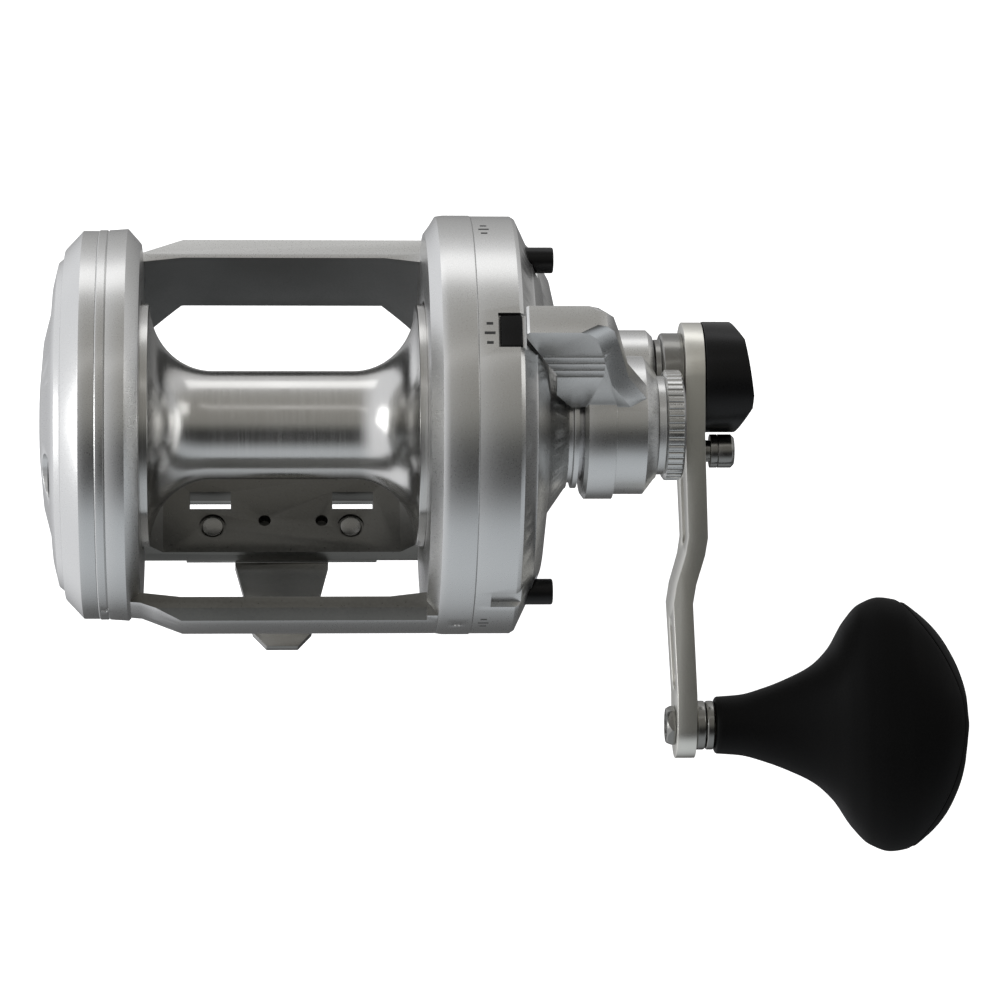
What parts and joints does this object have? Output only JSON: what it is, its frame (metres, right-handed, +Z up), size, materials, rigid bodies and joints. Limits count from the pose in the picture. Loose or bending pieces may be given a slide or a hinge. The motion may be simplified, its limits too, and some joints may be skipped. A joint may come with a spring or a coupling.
{
  "type": "trolling reel",
  "caption": "Two-speed lever-drag trolling reel: open frame with foot, turned spool, drag lever, preset knob and cranked handle with a T-shaped grip.",
  "frame": {"origin": "centre of the reel foot's underside, below the middle of the spool", "axes": "+X along the spool axis towards the handle, +Y towards the rod tip, +Z up from the rod"},
  "size_m": [0.2365, 0.1355, 0.1373],
  "materials": {
    "satin_aluminium": "satin anodised",
    "spool_aluminium": "turned and polished",
    "polished_steel": "polished",
    "blade_aluminium": "satin",
    "knurled_metal": "bright",
    "gear_steel": "machined",
    "bush_bronze": "plain",
    "friction_black": "matt",
    "black_plastic": "satin",
    "grip_rubber": "matt"
  },
  "bodies": {
    "housing": {"frame": "satin_aluminium", "foot": "polished_steel", "foot_screws": "polished_steel", "left_side_cover": "satin_aluminium", "left_shaft_bearing": "gear_steel", "click_pin": "gear_steel", "right_side_cover": "satin_aluminium", "lever_stop_posts": "black_plastic", "ring_set_screws": "gear_steel", "right_shaft_bearing": "gear_steel", "handle_shaft_bearing": "gear_steel", "handle_shaft_bushing": "bush_bronze", "fixed_drag_cam": "gear_steel", "reverse_pin": "gear_steel"},
    "spool": {"spool": "spool_aluminium", "spool_bearing_left": "gear_steel", "spool_bearing_right": "gear_steel", "drag_washer": "friction_black", "click_ring": "gear_steel"},
    "drag_carrier": {"thrust_bearing": "gear_steel"},
    "drive": {"main_shaft": "gear_steel", "drag_pressure_plate": "gear_steel", "drag_spring_washers": "gear_steel", "low_pinion": "gear_steel", "high_pinion": "gear_steel"},
    "lever": {"drag_lever": "satin_aluminium"},
    "preset": {"preset_knob": "knurled_metal"},
    "handle": {"handle_shaft": "gear_steel", "handle_collar": "polished_steel", "high_gear": "gear_steel", "ratchet_wheel": "gear_steel", "handle_blade": "blade_aluminium", "shift_cap": "black_plastic", "spindle_nut": "polished_steel", "grip_spindle": "polished_steel", "grip_inner_ring": "polished_steel", "grip_outer_ring": "polished_steel", "spindle_end_nut": "polished_steel"},
    "low_gear": {"low_gear": "gear_steel"},
    "shift": {"shift_button": "black_plastic", "shift_rod": "gear_steel"},
    "release": {"release_knob": "polished_steel"},
    "grip": {"grip": "grip_rubber", "grip_cap": "grip_rubber", "grip_bush_near": "bush_bronze", "grip_bush_far": "bush_bronze"},
    "strike": {"strike_button": "black_plastic"},
    "clicker": {"clicker_button": "black_plastic"},
    "click_pawl": {"click_pawl": "gear_steel"},
    "reverse_pawl": {"reverse_pawl": "gear_steel"}
  },
  "joints": [
    {"name": "spool_spin", "type": "hinge", "parent": "housing", "child": "spool", "pos_m": [0, 0, 0.052], "axis": [1, 0, 0], "continuous": true},
    {"name": "drag_shift", "type": "slide", "parent": "housing", "child": "drag_carrier", "axis": [1, 0, 0], "range_m": [-0.00019, 0.00052]},
    {"name": "drive_spin", "type": "hinge", "parent": "drag_carrier", "child": "drive", "pos_m": [0, 0, 0.052], "axis": [1, 0, 0], "continuous": true},
    {"name": "drag_lever", "type": "hinge", "parent": "housing", "child": "lever", "pos_m": [0.085, 0, 0.052], "axis": [-1, 0, 0], "range_deg": [-86.5, 30.5]},
    {"name": "preset_turn", "type": "hinge", "parent": "lever", "child": "preset", "pos_m": [0.0965, 0, 0.052], "axis": [1, 0, 0], "range_deg": [-180, 180]},
    {"name": "handle_turn", "type": "hinge", "parent": "housing", "child": "handle", "pos_m": [0.09, 0.02295, 0.03777], "axis": [1, 0, 0], "continuous": true},
    {"name": "low_gear_turn", "type": "hinge", "parent": "handle", "child": "low_gear", "pos_m": [0.044, 0.02295, 0.03777], "axis": [1, 0, 0], "continuous": true},
    {"name": "shift_push", "type": "slide", "parent": "handle", "child": "shift", "axis": [-1, 0, 0], "range_m": [0, 0.003], "stiffness_N_per_m": 400, "springref_m": -0.001},
    {"name": "release_pull", "type": "slide", "parent": "handle", "child": "release", "axis": [1, 0, 0], "range_m": [0, 0.002], "stiffness_N_per_m": 400, "springref_m": -0.001},
    {"name": "grip_spin", "type": "hinge", "parent": "handle", "child": "grip", "pos_m": [0.13, -0.05377, -0.00832], "axis": [1, 0, 0], "continuous": true},
    {"name": "strike_press", "type": "slide", "parent": "housing", "child": "strike", "axis": [0, 0.0872, -0.9962], "range_m": [0, 0.0012], "stiffness_N_per_m": 400, "springref_m": -0.001},
    {"name": "clicker_press", "type": "slide", "parent": "housing", "child": "clicker", "axis": [1, 0, 0], "range_m": [0, 0.0011], "stiffness_N_per_m": 400, "springref_m": -0.001},
    {"name": "click_pawl_swing", "type": "hinge", "parent": "housing", "child": "click_pawl", "pos_m": [-0.0375, 0, 0.077], "axis": [1, 0, 0], "range_deg": [-18, 18], "stiffness_Nm_per_rad": 0.002},
    {"name": "reverse_pawl_lift", "type": "hinge", "parent": "housing", "child": "reverse_pawl", "pos_m": [0.0545, 0.02851, 0.05489], "axis": [1, 0, 0], "range_deg": [-7, 5], "stiffness_Nm_per_rad": 0.004}
  ],
  "couplings": [
    {"joint": "drive_spin", "follows": "handle_turn", "ratio": -3.5},
    {"joint": "low_gear_turn", "follows": "handle_turn", "ratio": 0.75},
    {"joint": "drag_shift", "follows": "drag_lever", "m_per_rad": -0.00033119}
  ]
}
